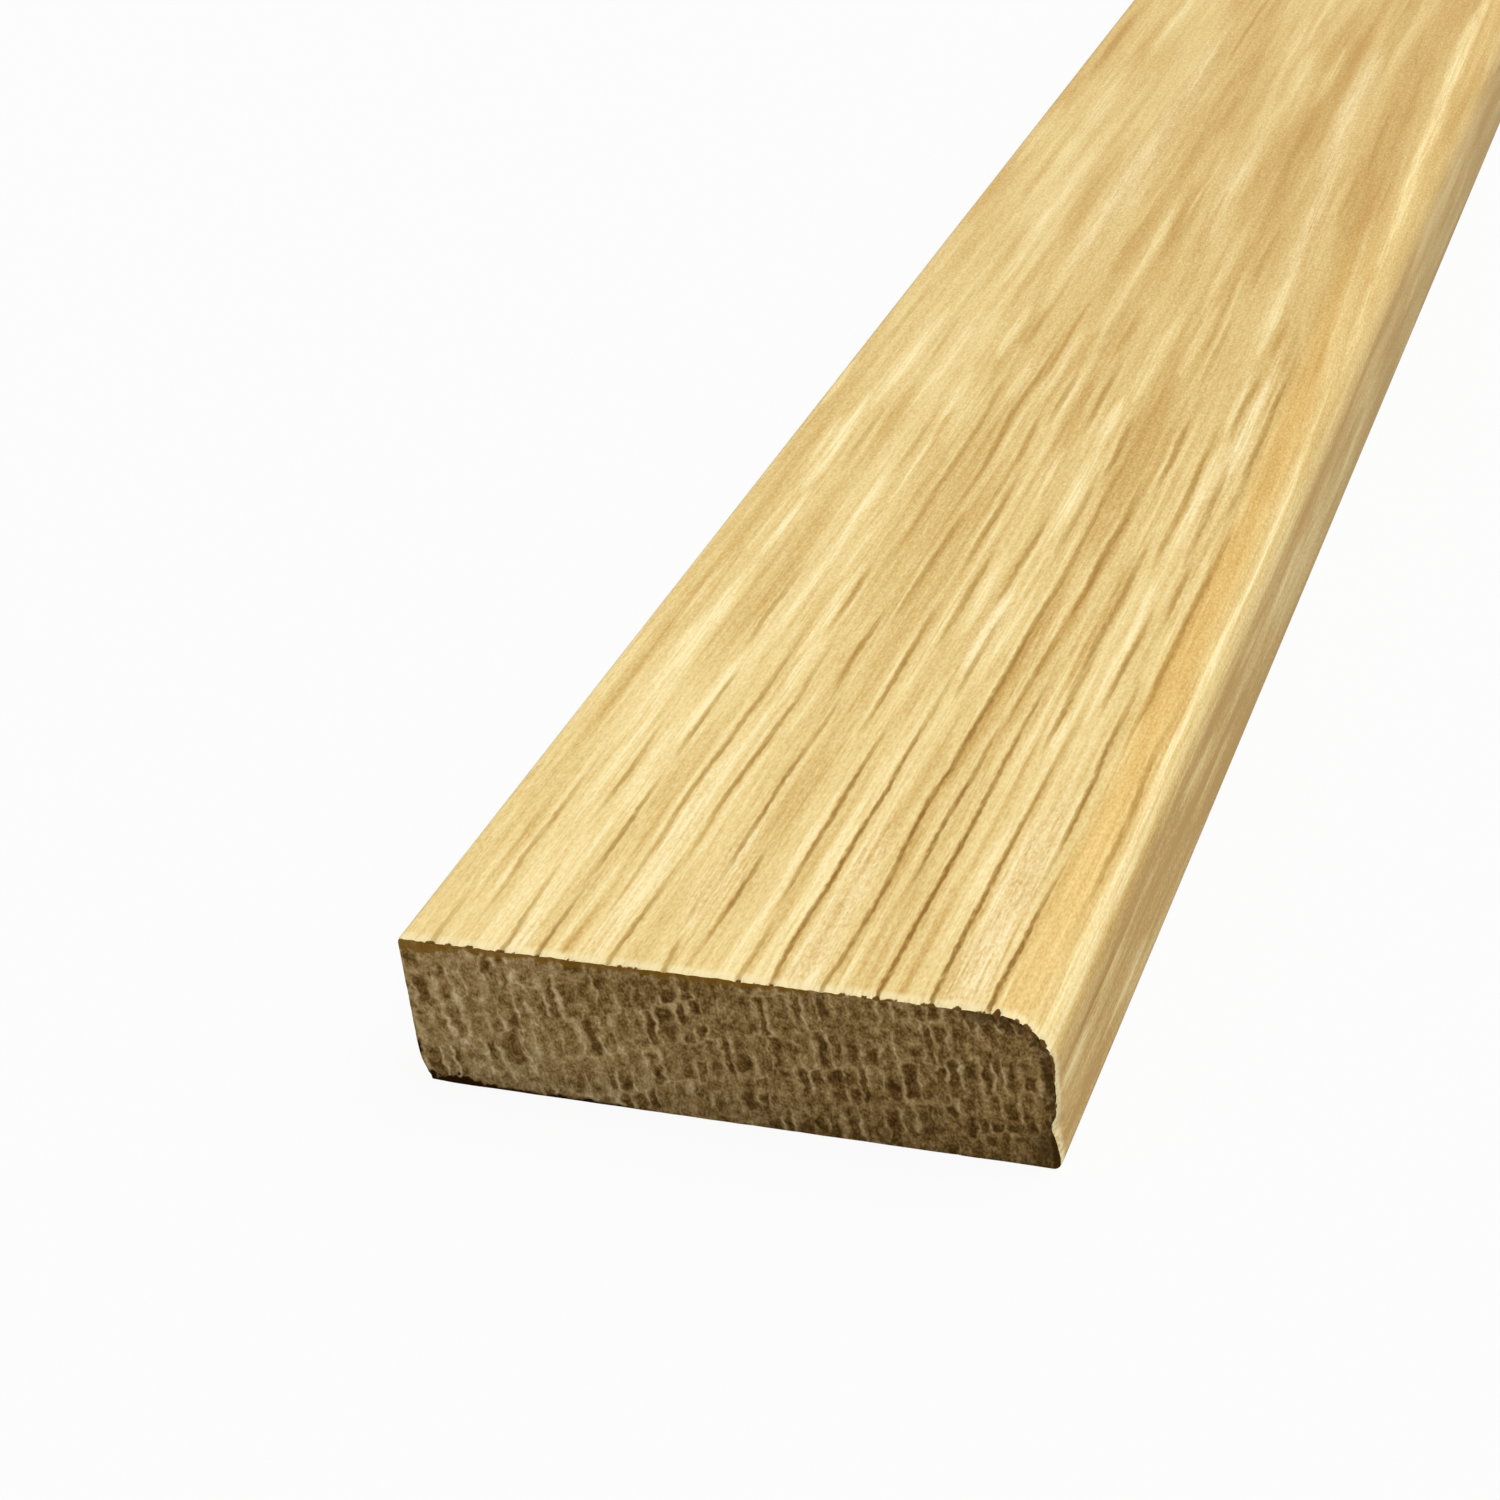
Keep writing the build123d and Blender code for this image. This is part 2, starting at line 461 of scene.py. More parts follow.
def broken_section(grain, points, normals):
    """X and Z of every row of the section, with its pores pressed in and its sawn ends broken."""
    along, across = grain.along[:, None], grain.across
    x, z = points[:, 0], points[:, 1]
    on_show = (z > TOP - NOSE_RADIUS) & (x > LEFT + FACE_ARRIS_RADIUS)
    on_nose = on_show & (x > RIGHT - NOSE_RADIUS - NOSE_LEAD)
    on_front = (x > RIGHT - 0.01) & ~on_show
    raggedness = np.select([on_nose, on_show | on_front], [NOSE_RAGGED, FACE_RAGGED], HIDDEN_RAGGED)
    open_pores = grain.masks["pore"] * grain.masks["depth"]
    inward = PORE_DEPTH * open_pores
    for distance, seed in zip((along, LENGTH - along), TEETH_SEEDS):
        easing = EASING_DEPTH * np.exp(-distance / EASING_REACH)
        clusters = 0.5 + 0.5 * line_noise(across, 2.2, seed + 5)
        lumps = 0.6 * line_noise(across, 0.7, seed) ** 2
        tooth = clusters * (lumps + 0.5 * line_noise(across, 0.33, seed + 7) ** 2)
        tooth = TOOTH_DEPTH * raggedness * tooth + PORE_TOOTH_DEPTH * open_pores
        teeth = tooth * fade(distance, TOOTH_REACH)
        inward = inward + easing + teeth
        mark_chips(grain, teeth)
    notch = NOTCH_DEPTH * fade(x - NOTCH_X, NOTCH_HALF_WIDTH) * on_show * fade(along, NOTCH_REACH)
    mark_chips(grain, notch)
    from_right = (x - RIGHT) / SPLINTER_HALF_WIDTH
    from_splinter = (z - SPLINTER_Z) / SPLINTER_HALF_HEIGHT
    splinter = np.exp(-(from_right ** 2 + from_splinter ** 2))
    inward = inward + notch + SPLINTER_DEPTH * splinter * fade(along, SPLINTER_REACH)
    broken = fade(along, CORNER_REACH) * (0.75 + 0.5 * line_noise(across, 0.8, CORNER_SEED))
    shift_x = CORNER_INWARD * broken * np.exp(-((x - LEFT) / 0.5) ** 2 - (z / 1.5) ** 2)
    shift_z = CORNER_UP * broken * np.exp(-((x - LEFT) / 0.7) ** 2 - (z / 0.8) ** 2)
    return x - normals[:, 0] * inward + shift_x, z - normals[:, 1] * inward + shift_z


# Mesh

def cap_fill(ring, seed):
    """Fills a sawn end: new points inside its ring, and triangles over ring and new points."""
    rng = np.random.default_rng(seed)
    x, z = np.meshgrid(np.arange(LEFT, RIGHT, CAP_STEP), np.arange(0.0, TOP, CAP_STEP))
    inside = np.stack([x.ravel(), z.ravel()], 1)
    inside += rng.uniform(-0.3, 0.3, inside.shape) * CAP_STEP
    distance = np.hypot(*(inside[:, None] - ring[None]).transpose(2, 0, 1)).min(1)
    inside = inside[distance > CAP_STEP / 2]
    corners = [Vector(place) for place in np.concatenate([ring, inside])]
    outline = list(range(len(ring)))[::-1]
    made = delaunay_2d_cdt(corners, [], [outline], 1, 1e-5)
    source = [first[0] for first in made[3]]
    triangles = np.array([[source[corner] for corner in face] for face in made[2]])
    used = np.unique(triangles[triangles >= len(ring)])
    renumber = np.arange(len(corners))
    renumber[used] = len(ring) + np.arange(used.size)
    return inside[used - len(ring)], renumber[triangles]


def side_faces(rows, columns):
    """The four-sided faces of the long sides, and the places of their corners on the map."""
    row, column = np.mgrid[0:rows - 1, 0:columns]
    following = (column + 1) % columns
    quads = [row * columns + column, row * columns + following]
    quads += [(row + 1) * columns + following, (row + 1) * columns + column]
    map_u = np.stack([column, column + 1, column + 1, column], 2).reshape(-1) / columns
    map_v = np.stack([row, row, row + 1, row + 1], 2).reshape(-1) / (rows - 1)
    places = np.stack([map_u, SIDES_MAP_LOW + (1 - SIDES_MAP_LOW) * map_v], 1)
    return np.stack(quads, 2).reshape(-1, 4), places


def sharpen_rims(mesh, rows, columns):
    """Keeps the rims of both sawn ends sharp."""
    ends = np.empty(len(mesh.edges) * 2, np.int32)
    mesh.edges.foreach_get("vertices", ends)
    ends = ends.reshape(-1, 2)
    on_near = (ends < columns).all(1)
    on_far = ((ends >= (rows - 1) * columns) & (ends < rows * columns)).all(1)
    mesh.edges.foreach_set("use_edge_sharp", on_near | on_far)


def build_trim():
    """The trim as one closed mesh with its grain masks and its unrolled map."""
    across, points, normals = section_outline()
    along = rows_along()
    rows, columns = along.size, across.size
    grain = oak_grain(along, across)
    x, z = broken_section(grain, points, normals)
    from_near, from_far = along[:, None], LENGTH - along[:, None]
    pull_near, pull_far = (PULL_DEPTH * line_noise(across, PULL_WIDTH, seed) for seed in PULL_SEEDS)
    y = NEAR_END + from_near + pull_near * np.exp(-from_near / PULL_REACH)
    y = y - pull_far * np.exp(-from_far / PULL_REACH)
    vertices = [np.stack([x, y, z], 2).reshape(-1, 3)]
    quads, side_places = side_faces(rows, columns)
    places = [side_places]

    total = rows * columns
    triangles = []
    near_cap = (CAP_SEEDS[0], 0, -1, *NEAR_CAP_MAP)
    far_cap = (CAP_SEEDS[1], (rows - 1) * columns, 1, *FAR_CAP_MAP)
    for seed, first, side, map_low, map_high in (near_cap, far_cap):
        ring = vertices[0][first:first + columns]
        inside, faces = cap_fill(ring[:, [0, 2]], seed)
        relief = CAP_RELIEF * value_noise(inside[:, 0] / 0.5, inside[:, 1] / 1.3, seed)
        depth = side * (LENGTH / 2 - CAP_SINK - relief)
        vertices.append(np.stack([inside[:, 0], depth, inside[:, 1]], 1))
        local = np.concatenate([ring[:, [0, 2]], inside])[faces].reshape(-1, 2)
        share = np.stack([(local[:, 0] - LEFT) / WIDTH, local[:, 1] / TOP], 1)
        places.append(share * (map_high - map_low, CAPS_MAP_HIGH) + (map_low, 0))
        number = np.where(faces < columns, faces + first, faces - columns + total)
        triangles.append(number if side < 0 else number[:, ::-1])
        if side > 0:
            places[-1] = places[-1].reshape(-1, 3, 2)[:, ::-1].reshape(-1, 2)
        total += len(inside)

    mesh = bpy.data.meshes.new("reveal_trim_oak")
    everything = np.concatenate(vertices) * MM
    caps = np.concatenate(triangles)
    mesh.from_pydata(everything.tolist(), [], quads.tolist() + caps.tolist())
    for name, mask in grain.masks.items():
        values = np.zeros(len(everything), np.float32)
        values[:rows * columns] = mask.ravel()
        mesh.attributes.new(name, "FLOAT", "POINT").data.foreach_set("value", values)
    layer = mesh.uv_layers.new(name="OFBake")
    layer.data.foreach_set("uv", np.concatenate(places).astype(np.float32).ravel())
    slots = np.zeros(len(mesh.polygons), np.int32)
    slots[len(quads):] = 1
    mesh.polygons.foreach_set("material_index", slots)
    mesh.polygons.foreach_set("use_smooth", np.ones(len(mesh.polygons), bool))
    sharpen_rims(mesh, rows, columns)
    mesh.update()
    return mesh


# Materials

def paint(red, green, blue):
    """A colour given as screen values from 0 to 255, as the shader wants it."""
    screen = np.array([red, green, blue]) / 255
    linear = np.where(screen < 0.04045, screen / 12.92, ((screen + 0.055) / 1.055) ** 2.4)
    return (*linear.tolist(), 1.0)


class Shader:
    """A material's nodes, with short calls that add one and give its output."""

    def __init__(self, name):
        self.material = bpy.data.materials.new(name)
        self.material.use_nodes = True
        self.tree = self.material.node_tree
        self.surface = self.tree.nodes["Principled BSDF"]
        metres = self.add("TexCoord", output="Object")
        self.place = self.vector("SCALE", metres, scale=1 / MM)

    def add(self, kind, inputs=(), output=0, **settings):
        """Adds a node, sets or links its inputs by name or number, and gives one output."""
        made = self.tree.nodes.new("ShaderNode" + kind)
        for name, value in settings.items():
            setattr(made, name, value)
        for name, value in dict(inputs).items():
            self.feed(made.inputs[name], value)
        return made.outputs[output]

    def feed(self, socket, value):
        """Links an output to a socket, or sets the socket to a plain value."""
        if isinstance(value, bpy.types.NodeSocket):
            self.tree.links.new(value, socket)
        else:
            socket.default_value = value

    def vector(self, operation, first, second=None, scale=None):
        """A sum, product or scaling of vectors."""
        inputs = {0: first}
        if second is not None:
            inputs[1] = second
        if scale is not None:
            inputs["Scale"] = scale
        return self.add("VectorMath", inputs, operation=operation)

    def math(self, operation, first, second=0.0, third=0.0):
        """One sum on numbers."""
        return self.add("Math", {0: first, 1: second, 2: third}, operation=operation)

    def total(self, start, *weighted):
        """A number plus each given output times its weight."""
        for value, weight in weighted:
            start = self.math("MULTIPLY_ADD", value, weight, start)
        return start

    def product(self, first, *others):
        """Some numbers multiplied."""
        for value in others:
            first = self.math("MULTIPLY", first, value)
        return first

    def length(self, vector):
        """The length of a vector."""
        return self.add("VectorMath", {0: vector}, output="Value", operation="LENGTH")

    def noise(self, across, along, detail=2.0):
        """Noise whose grains are so many mm across and along the grain."""
        spot = self.vector("MULTIPLY", self.place, (1 / across, 1 / along, 1 / across))
        return self.add("TexNoise", {"Vector": spot, "Scale": 1.0, "Detail": detail})

    def plane_noise(self, across, up):
        """Noise whose grains are so many mm across and up, on a sawn end."""
        spot = self.vector("MULTIPLY", self.place, (1 / across, 0, 1 / up))
        return self.add("TexNoise", {"Vector": spot, "Scale": 1.0, "Detail": 2.0})

    def smooth(self, value, low, high, at_low=0.0, at_high=1.0):
        """A soft step of a number from one level to another."""
        inputs = {"Value": value, "From Min": low, "From Max": high}
        inputs.update({"To Min": at_low, "To Max": at_high})
        return self.add("MapRange", inputs, interpolation_type="SMOOTHSTEP")

    def axis(self, vector, name):
        """One number of a vector."""
        return self.add("SeparateXYZ", {0: vector}, output=name)

    def at_ends(self, fade_from, full_at):
        """1 at both sawn ends, fading to 0 so many mm away from them."""
        from_middle = self.math("ABSOLUTE", self.axis(self.place, "Y"))
        return self.smooth(self.math("SUBTRACT", LENGTH / 2, from_middle), fade_from, full_at)

    def mask(self, name):
        """One of the mesh's grain masks."""
        return self.add("Attribute", output="Fac", attribute_name=name)

    def mix(self, factor, first, second, blend="MIX"):
        """One colour laid over another."""
        inputs = {0: factor, 6: first, 7: second}
        return self.add("Mix", inputs, output=2, data_type="RGBA", blend_type=blend)

    def ramp(self, value, scale):
        """A colour scale, read at a value from 0 to 1."""
        output = self.add("ValToRGB", {0: value})
        elements = output.node.color_ramp.elements
        while len(elements) < len(scale):
            elements.new(1.0)
        for element, (position, colour) in zip(elements, scale):
            element.position = position
            element.color = paint(*colour)
        return output

    def finish(self, colour, roughness, height, bump_strength, bump_mm, gloss):
        """Feeds the surface with a colour, a roughness, a relief and a share of reflected light."""
        inputs = {"Height": height, "Strength": bump_strength, "Distance": bump_mm * MM}
        normal = self.add("Bump", inputs)
        for name, value in (("Base Color", colour), ("Roughness", roughness), ("Normal", normal)):
            self.feed(self.surface.inputs[name], value)
        self.surface.inputs["Specular IOR Level"].default_value = gloss
        return self.material


def stain_pores(shade, colour, blur, beyond, hair, stipple, breaks):
    """Lays the pores over a colour: each is a stain with a ragged dark core, which weak ones lack."""
    ragged = shade.total(-0.85, (shade.mask("pore"), 1.0), (breaks, 1.1), (stipple, 0.6))
    patchiness = shade.smooth(shade.noise(0.8, 4), 0.3, 0.65, 0.75, 1.15)
    depth = shade.product(shade.mask("depth"), patchiness)
    stain = shade.product(shade.smooth(ragged, 0.18, 0.58), shade.smooth(depth, 0.0, 0.55))
    stain = shade.product(stain, shade.total(1.0, (blur, -0.15)))
    dash = shade.smooth(hair, 0.36, 0.2, 0.0, 0.3)
    short = shade.smooth(shade.noise(0.45, 12, detail=1.0), 0.37, 0.28, 0.0, 0.95)
    dash = shade.math("MAXIMUM", dash, shade.product(short, beyond))
    colour = shade.mix(shade.math("MAXIMUM", stain, dash), colour, PORE_STAIN, "MULTIPLY")
    core = shade.product(shade.smooth(ragged, 0.4, 0.88), shade.smooth(depth, 0.3, 0.95, 0.0, 0.82))
    core = shade.product(core, shade.total(1.0, (blur, -0.6)))
    colour = shade.mix(core, colour, paint(*PORE_CORE))
    return colour, shade.math("MAXIMUM", core, stain)


def long_grain_oak():
    """Planed oak along the grain: cream to tan streaks, ragged dark pores, fine fibre."""
    shade = Shader("oak_long_grain")
    x, y, z = (shade.axis(shade.place, name) for name in "XYZ")
    # Between the near end and the stretch past the photograph's view the grain is softer.
    beyond = shade.smooth(y, NEAR_END + 220, NEAR_END + 330)
    within = shade.total(1.0, (beyond, -1.0))
    away = shade.product(shade.smooth(y, NEAR_END + 5, NEAR_END + 150), within)
    blur = shade.product(shade.smooth(y, NEAR_END + 22, NEAR_END + 60), within)
    right = shade.smooth(x, LEAN_LEFT, LEAN_RIGHT)
    below = shade.smooth(z, TOP - 1.5, TOP - 4.6)
    foot = shade.smooth(z, TOP - 5.0, 0.5)
    # The grain leans as its masks do.
    lean = shade.smooth(y, NEAR_END + LEAN_START, NEAR_END + LEAN_END, 0.0, LEAN)
    shift = shade.add("CombineXYZ", {0: shade.product(lean, right)})
    shade.place = shade.vector("ADD", shade.place, shift)
    broad = shade.noise(9, 260)
    patchy = shade.noise(2.2, 30)
    streak = shade.noise(1.5, 75)
    ripple = shade.noise(0.75, 38)
    fibre = shade.noise(0.4, 11)
    hair = shade.noise(0.19, 7, detail=1.0)
    thread = shade.noise(0.22, 2)
    stipple = shade.noise(0.17, 0.42)
    breaks = shade.noise(0.26, 0.9)
    flake = shade.mask("flake")
    amber = shade.product(shade.mask("amber"), shade.smooth(y, NEAR_END, NEAR_END + 24, 0.65, 1.0))
    # The streaks fade on the edges and in the amber band, and fine grain fades away from the end.
    near = shade.total(1.0, (away, -0.65))
    calm = shade.product(shade.total(1.0, (below, -0.5)), shade.total(1.0, (amber, -0.7)), near)
    bands = shade.product(calm, shade.total(-0.6, (streak, 0.6), (ripple, 0.6)))
    fine = shade.product(near, shade.total(-0.5, (fibre, 0.4), (thread, 0.3), (hair, 0.3)))
    rough = shade.total(-0.56, (thread, 0.35), (hair, 0.4), (stipple, 0.45))
    rough = shade.product(flake, rough, near)
    # Away from the end and down the front edge the wood is blotchy.
    soft = shade.math("MAXIMUM", shade.total(0.1, (away, 0.7)), shade.total(0.0, (below, 1.4)))
    blotch = shade.product(soft, shade.total(-0.5, (patchy, 1.0)))
    # Streaks stand out most a little way from the end.
    cream = shade.product(shade.mask("cream"), shade.smooth(hair, 0.38, 0.6, 0.65, 1.15))
    middle = shade.smooth(y, NEAR_END + 20, NEAR_END + 40, 0.0, 0.35)
    middle = shade.product(middle, shade.smooth(y, NEAR_END + 115, NEAR_END + 85))
    streaks = shade.total(0.0, (cream, 0.4), (shade.mask("tan"), -0.44))
    streaks = shade.product(streaks, shade.total(1.0, (middle, 1.0)))
    far_right = shade.product(away, right)
    far_below = shade.product(away, below)
    # The tone is darker down the front edge and toward its foot, partly the wood's own colour and
    # partly painted shade.
    tone = shade.total(
        -0.035, (bands, 1.0), (fine, 1.0), (rough, 1.0), (blotch, 0.75), (broad, 0.5),
        (stipple, 0.75), (streaks, 1.0), (away, -0.25), (far_right, -0.1), (below, -0.3),
        (foot, -0.19), (amber, -0.08), (far_below, 0.2),
    )
    colour = shade.ramp(tone, PLANED_SCALE)
    far_foot = shade.product(foot, shade.total(0.3, (away, 0.7)))
    shares = (amber, flake, below, far_foot, away)
    tints = (AMBER_TINT, FLAKE_TINT, EDGE_TINT, FOOT_TINT, FAR_TINT)
    for share, tint in zip(shares, tints):
        colour = shade.mix(share, colour, tint, "MULTIPLY")
    # A painted contact shadow darkens the foot of the long edges, and the rims of the sawn ends are
    # pale.
    contact_shadow = shade.smooth(z, 0.9, 0.2, 0.0, 0.5)
    contact_shadow = shade.product(contact_shadow, shade.smooth(patchy, 0.35, 0.6, 0.4, 1.0))
    colour = shade.mix(contact_shadow, colour, paint(*PAINTED_CONTACT_SHADOW))
    # The pale rim along the sawn ends is a painted highlight.
    rim = shade.product(shade.at_ends(1.1, 0.3), shade.smooth(thread, 0.36, 0.56, 0.4, 0.95))
    colour = shade.mix(rim, colour, paint(*RIM_HIGHLIGHT))
    colour, pore = stain_pores(shade, colour, blur, beyond, hair, stipple, breaks)
    chip = shade.smooth(shade.total(-0.3, (shade.mask("chip"), 1.0), (breaks, 0.6)), 0.3, 0.5)
    colour = shade.mix(chip, colour, paint(*CHIP))
    roughness = shade.total(0.55, (fibre, 0.12), (pore, 0.15), (chip, 0.3))
    height = shade.total(0.0, (pore, -0.4), (fibre, 0.3), (thread, 0.3))
    return shade.finish(
        colour, roughness, height, bump_strength=0.2, bump_mm=0.1, gloss=PLANED_GLOSS,
    )


def cell_rows(shade, x, mottle, grit):
    """The dark slots and pale bars of rows of cells, which follow the rings and are out of true."""
    spot = shade.vector("MULTIPLY", shade.place, (1.1, 0, 1.1))
    warp = shade.add("TexNoise", {"Vector": spot, "Scale": 1.0, "Detail": 1.0}, output="Color")
    warp = shade.vector("SUBTRACT", warp, (0.5, 0.5, 0.5))
    warped = shade.vector("ADD", shade.place, shade.vector("MULTIPLY", warp, (0.95, 0, 1.5)))
    to_pith = shade.vector("SUBTRACT", warped, (PITH_X, 0, PITH_Z))
    radius = shade.length(shade.vector("MULTIPLY", to_pith, (1, 0, 1)))
    to_rays = shade.vector("SUBTRACT", warped, (RAY_PITH_X, 0, RAY_PITH_Z))
    turn = shade.math("ARCTAN2", shade.axis(to_rays, "X"), shade.axis(to_rays, "Z"))
    arc = shade.product(turn, TOP / 2 - RAY_PITH_Z)
    waves = shade.plane_noise(3.3, 3.3)
    row = shade.total(ROW_START - 0.25, (radius, 1 / ROW_HEIGHT), (waves, 0.5))
    row_number = shade.math("FLOOR", row)
    spot = shade.add("CombineXYZ", {0: arc, 1: shade.product(row_number, 9.0)})
    uneven = shade.add("TexNoise", {"Vector": spot, "Scale": 0.4, "Detail": 1.0})
    narrower = shade.product(x, x)
    column = shade.total(
        -1.0, (arc, 1 / CELL_WIDTH), (narrower, CELL_NARROWING), (row_number, 0.37), (uneven, 1.7),
    )
    cell = shade.add("CombineXYZ", {0: shade.math("FLOOR", column), 1: row_number})
    chance = shade.add("TexWhiteNoise", {"Vector": cell}, output="Color")
    # Inside a cell, the distance to its edge in mm: pale close to the edge, dark in the middle.
    gaps = []
    for value, size in ((column, CELL_WIDTH), (row, ROW_HEIGHT)):
        from_middle = shade.math("SUBTRACT", shade.math("FRACT", value), 0.5)
        gaps.append(shade.total(size / 2, (shade.math("ABSOLUTE", from_middle), -size)))
    uneven_edge = shade.total(-0.3, (mottle, 0.45), (grit, 0.15))
    ray = shade.math("SMOOTH_MIN", gaps[0], shade.math("ADD", gaps[1], 0.13), 0.35)
    ray = shade.math("ADD", ray, uneven_edge)
    edge = shade.math("ADD", shade.math("SMOOTH_MIN", *gaps, 0.4), uneven_edge)
    # Some cells are faint, and so are whole parts of the end.
    clear = shade.smooth(shade.plane_noise(2.8, 2.0), 0.4, 0.57, 0.12, 1.0)
    slot_strength = shade.smooth(shade.axis(chance, "X"), 0.0, 0.6, 0.1, 1.0)
    bar_strength = shade.smooth(shade.axis(chance, "Z"), 0.0, 0.6, 0.2, 1.0)
    slot = shade.product(shade.smooth(edge, 0.13, 0.36), clear, slot_strength)
    bar = shade.product(shade.smooth(ray, 0.3, 0.0), clear, bar_strength)
    return slot, bar


def dark_break(shade, x, z, mottle, cloud):
    """How dark a sawn end is where it has broken: round the nose and down the front edge."""
    past_x = shade.smooth(x, RIGHT - NOSE_RADIUS, RIGHT)
    past_z = shade.smooth(z, TOP - NOSE_RADIUS, TOP)
    reach = shade.length(shade.add("CombineXYZ", {0: past_x, 1: past_z}))
    rim = shade.total(-0.8, (reach, 1.0), (mottle, 0.9), (cloud, 0.7))
    rim = shade.product(shade.smooth(rim, 0.79, 1.03, 0.0, 0.85), shade.smooth(x, 15.5, 19.5))
    crest = shade.total(-0.4 - TOP, (z, 1.0), (mottle, 1.4), (cloud, 0.9))
    crest = shade.product(shade.smooth(crest, -0.25, 0.35, 0.0, 0.45), shade.smooth(x, 15, 17.5))
    corner = shade.product(shade.smooth(x, 19.8, 22.4), shade.smooth(z, 4.2, 2.2, 0.0, 0.75))
    corner = shade.product(corner, shade.smooth(cloud, 0.3, 0.55, 0.4, 1.0))
    return shade.math("MAXIMUM", shade.math("MAXIMUM", rim, crest), corner)


def end_grain_oak():
    """Sawn oak across the grain: rows of cells, mottle and saw grit, scorch, dark breaks, a dark
    spot, a painted shadow along the foot and painted light low at the left.
    """
    shade = Shader("oak_end_grain")
    x, y, z = (shade.axis(shade.place, name) for name in "XYZ")
    mottle = shade.plane_noise(0.46, 0.6)
    grit = shade.plane_noise(0.19, 0.24)
    cloud = shade.plane_noise(1.1, 1.1)
    slot, bar = cell_rows(shade, x, mottle, grit)
    # The end is palest low at the left, where painted light is laid against the floor's shade, and
    # darker low at the right and at the middle of its top.
    left = shade.smooth(x, 12, -18)
    painted_light_low_left = shade.product(left, shade.smooth(z, 7, 2))
    right_low = shade.product(shade.smooth(x, 4, 14), shade.smooth(z, 6, 2.5))
    middle_top = shade.product(shade.smooth(x, -12, -8), shade.smooth(x, 3, -1))
    middle_top = shade.product(middle_top, shade.smooth(z, 7, 9.5))
    level = shade.total(
        -0.775, (bar, 0.34), (slot, -0.25), (mottle, 0.8), (grit, 0.84), (cloud, 0.76),
        (left, 0.11), (painted_light_low_left, 0.07), (right_low, -0.04), (middle_top, -0.07),
    )
    colour = shade.ramp(level, SAWN_SCALE)
    # The saw has scorched the wood close under the show face, most of all at the left.
    far_left = shade.smooth(x, -18.5, -21, 0.0, 0.4)
    deep = shade.total(0.0, (far_left, 1.0), (shade.smooth(x, 2, 9), -0.4))
    under_face = shade.total(1.45 - TOP, (z, 1.0), (cloud, -1.2), (mottle, -0.3), (deep, 1.0))
    scorch = shade.smooth(under_face, 0.0, 0.3, 0.0, 0.8)
    colour = shade.mix(scorch, colour, paint(*SCORCH))
    colour = shade.mix(dark_break(shade, x, z, mottle, cloud), colour, paint(*DARK_BREAK))
    # At the near end, a painted shadow lies along the foot at the left, and the end is darker in a
    # spot low on the square edge.
    near = shade.math("LESS_THAN", y, 0.0)
    thickness = shade.smooth(x, -15, -21, 0.35, 1.0)
    thickness = shade.total(0.0, (thickness, 1.0), (shade.smooth(x, -9, -6), -0.35))
    smear = shade.total(-0.9, (cloud, 2.0), (mottle, 1.3))
    shadow_top = shade.product(thickness, smear, near)
    low = shade.smooth(shade.math("SUBTRACT", z, shadow_top), 0.16, -0.16)
    colour = shade.mix(low, colour, paint(*PAINTED_FOOT_SHADOW))
    from_spot = shade.vector("SUBTRACT", shade.place, (LEFT, 0, 2.9))
    from_spot = shade.length(shade.vector("MULTIPLY", from_spot, (2.2, 0, 1.5)))
    spot = shade.smooth(shade.total(-0.5, (from_spot, 1.0), (mottle, 1.0)), 1.0, 0.5)
    colour = shade.mix(shade.product(spot, near), colour, paint(*EDGE_DARK_SPOT))
    height = shade.total(0.0, (bar, 0.4), (slot, -0.5), (mottle, 0.7), (grit, 0.5))
    return shade.finish(
        colour, SAWN_ROUGHNESS, height, bump_strength=0.6, bump_mm=0.12, gloss=SAWN_GLOSS,
    )


# Stage

def place_camera():
    """The photograph's camera."""
    data = bpy.data.cameras.new("photo_camera")
    data.sensor_width = SENSOR_WIDTH
    data.lens = LENS
    data.clip_start = CLIP_START
    camera = bpy.data.objects.new("photo_camera", data)
    bpy.context.scene.collection.objects.link(camera)
    camera.location = Vector(CAMERA_AT) * MM
    gaze = (Vector(CAMERA_TARGET) - Vector(CAMERA_AT)).to_track_quat("-Z", "Y")
    camera.rotation_mode = "QUATERNION"
    camera.rotation_quaternion = gaze @ Quaternion((0, 0, 1), math.radians(CAMERA_ROLL))
    bpy.context.scene.camera = camera


def seen_by_eye(tree):
    """1 for rays from the camera or by way of a reflection or glass, else 0."""
    path = tree.nodes.new("ShaderNodeLightPath")
    seen = path.outputs["Is Camera Ray"]
    for name in ("Is Glossy Ray", "Is Transmission Ray"):
        either = tree.nodes.new("ShaderNodeMath")
        either.operation = "MAXIMUM"
        tree.links.new(seen, either.inputs[0])
        tree.links.new(path.outputs[name], either.inputs[1])
        seen = either.outputs[0]
    return seen


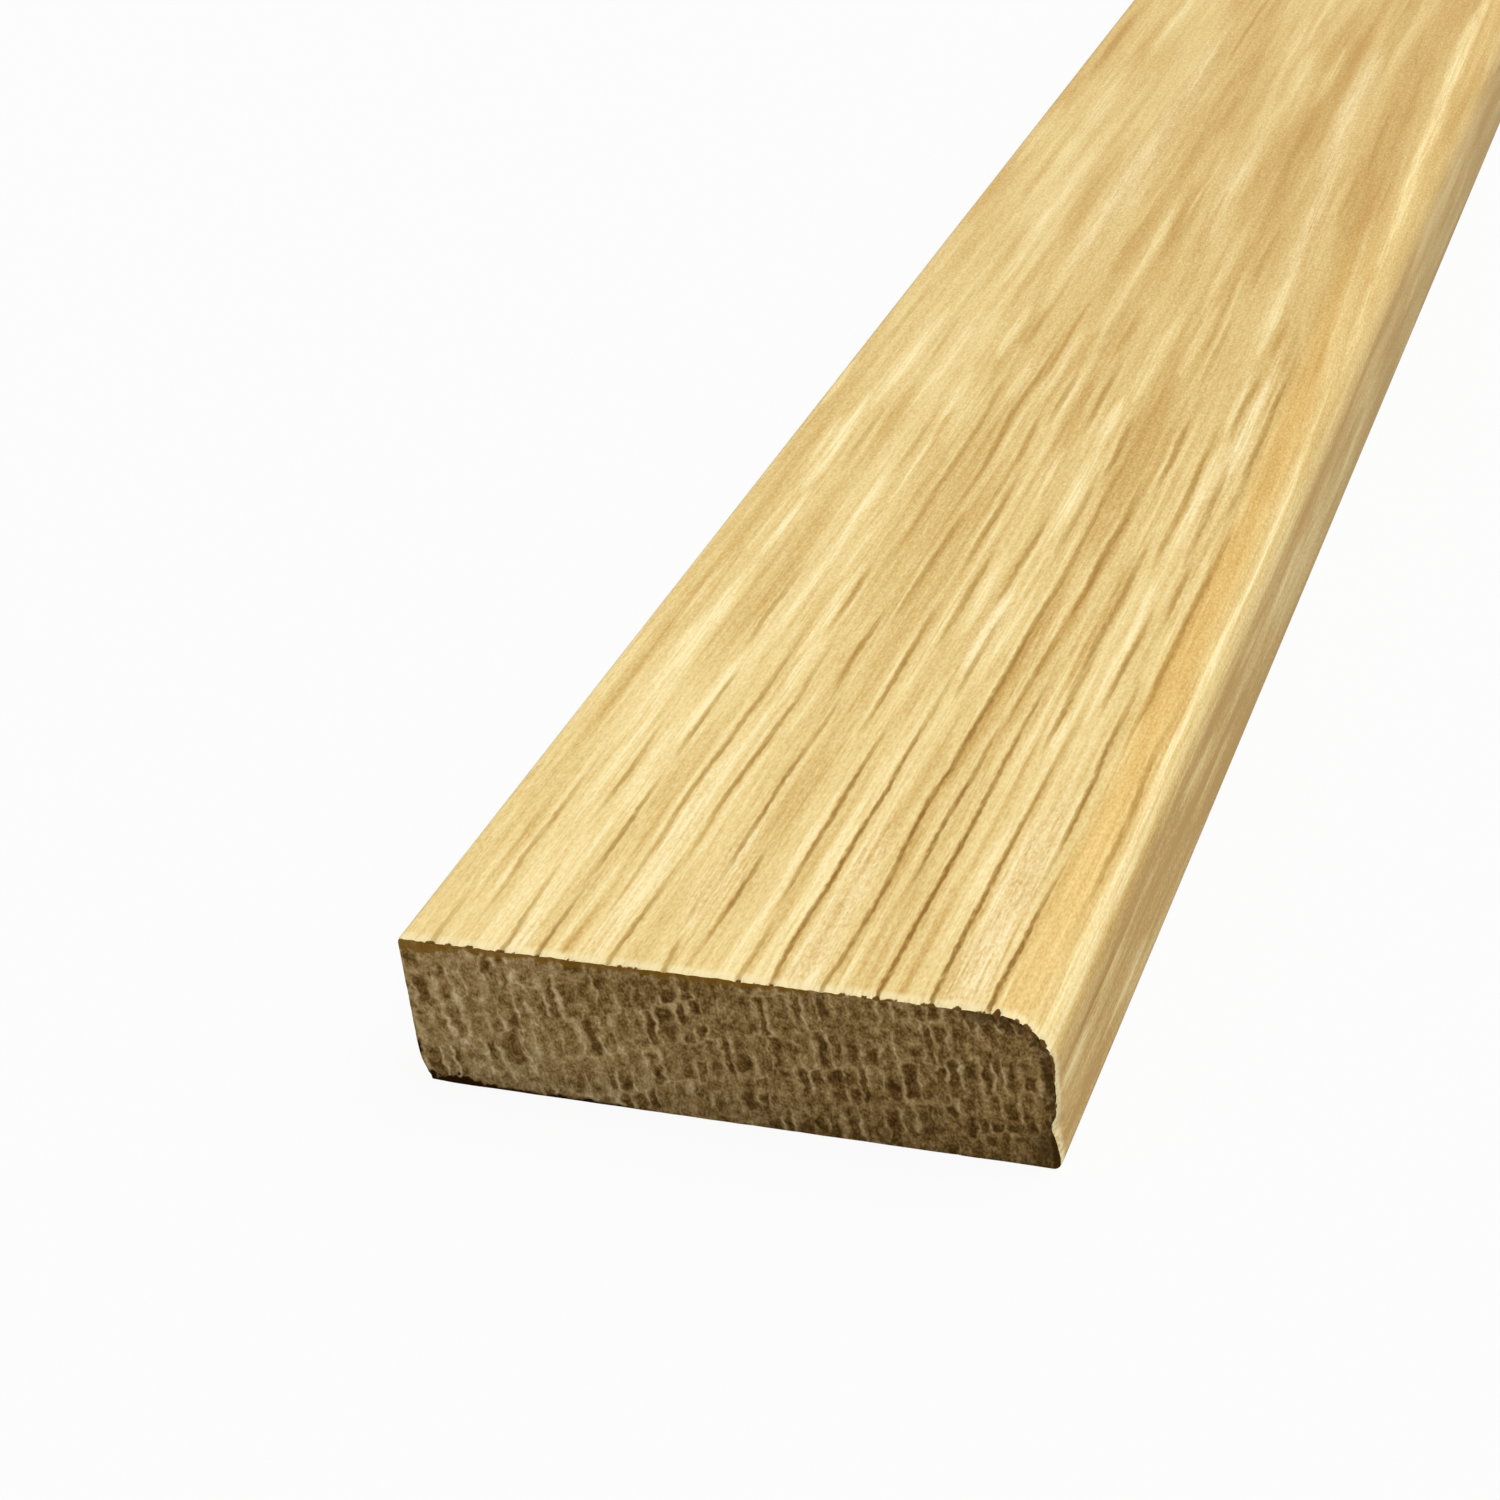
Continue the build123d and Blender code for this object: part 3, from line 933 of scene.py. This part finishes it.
def light_scene():
    """Soft studio light: an even sky that looks white, and one broad lamp from above."""
    world = bpy.data.worlds.new("studio")
    bpy.context.scene.world = world
    world.use_nodes = True
    tree = world.node_tree
    sky = tree.nodes["Background"]
    sky.inputs["Color"].default_value = (1, 1, 1, 1)
    sky.inputs["Strength"].default_value = SKY_STRENGTH
    white = tree.nodes.new("ShaderNodeBackground")
    white.inputs["Color"].default_value = (1, 1, 1, 1)
    white.inputs["Strength"].default_value = 1.0
    either = tree.nodes.new("ShaderNodeMixShader")
    tree.links.new(seen_by_eye(tree), either.inputs[0])
    tree.links.new(sky.outputs[0], either.inputs[1])
    tree.links.new(white.outputs[0], either.inputs[2])
    tree.links.new(either.outputs[0], tree.nodes["World Output"].inputs["Surface"])
    lamp = bpy.data.lights.new("overhead", "SUN")
    lamp.energy = LAMP_STRENGTH
    lamp.angle = math.radians(LAMP_SPREAD)
    holder = bpy.data.objects.new("overhead", lamp)
    bpy.context.scene.collection.objects.link(holder)
    holder.rotation_euler = Vector(LAMP_FROM).to_track_quat("Z", "Y").to_euler()


def lay_floor():
    """A plain white floor that keeps the trim's shadow."""
    side, drop = FLOOR_HALF_SIDE, -FLOOR_DROP
    mesh = bpy.data.meshes.new("floor")
    corners = [(-side, -side, drop), (side, -side, drop), (side, side, drop), (-side, side, drop)]
    mesh.from_pydata(corners, [], [(0, 1, 2, 3)])
    floor = bpy.data.objects.new("floor", mesh)
    bpy.context.scene.collection.objects.link(floor)
    material = bpy.data.materials.new("studio_floor")
    material.use_nodes = True
    tree = material.node_tree
    matt = tree.nodes["Principled BSDF"]
    matt.inputs["Base Color"].default_value = (FLOOR_GREY, FLOOR_GREY, FLOOR_GREY, 1)
    matt.inputs["Roughness"].default_value = 0.9
    glow = tree.nodes.new("ShaderNodeEmission")
    glow.inputs["Strength"].default_value = 1.0
    share = tree.nodes.new("ShaderNodeMath")
    share.operation = "MULTIPLY"
    tree.links.new(seen_by_eye(tree), share.inputs[0])
    share.inputs[1].default_value = FLOOR_WHITENESS
    blend = tree.nodes.new("ShaderNodeMixShader")
    tree.links.new(share.outputs[0], blend.inputs[0])
    tree.links.new(matt.outputs[0], blend.inputs[1])
    tree.links.new(glow.outputs[0], blend.inputs[2])
    tree.links.new(blend.outputs[0], tree.nodes["Material Output"].inputs["Surface"])
    mesh.materials.append(material)


bpy.context.scene.view_settings.view_transform = "Standard"
trim_mesh = build_trim()
trim_mesh.materials.append(long_grain_oak())
trim_mesh.materials.append(end_grain_oak())
trim = bpy.data.objects.new("reveal_trim_oak", trim_mesh)
bpy.context.scene.collection.objects.link(trim)
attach(trim, "root")
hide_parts("reveal_trim")
lay_floor()
light_scene()
place_camera()
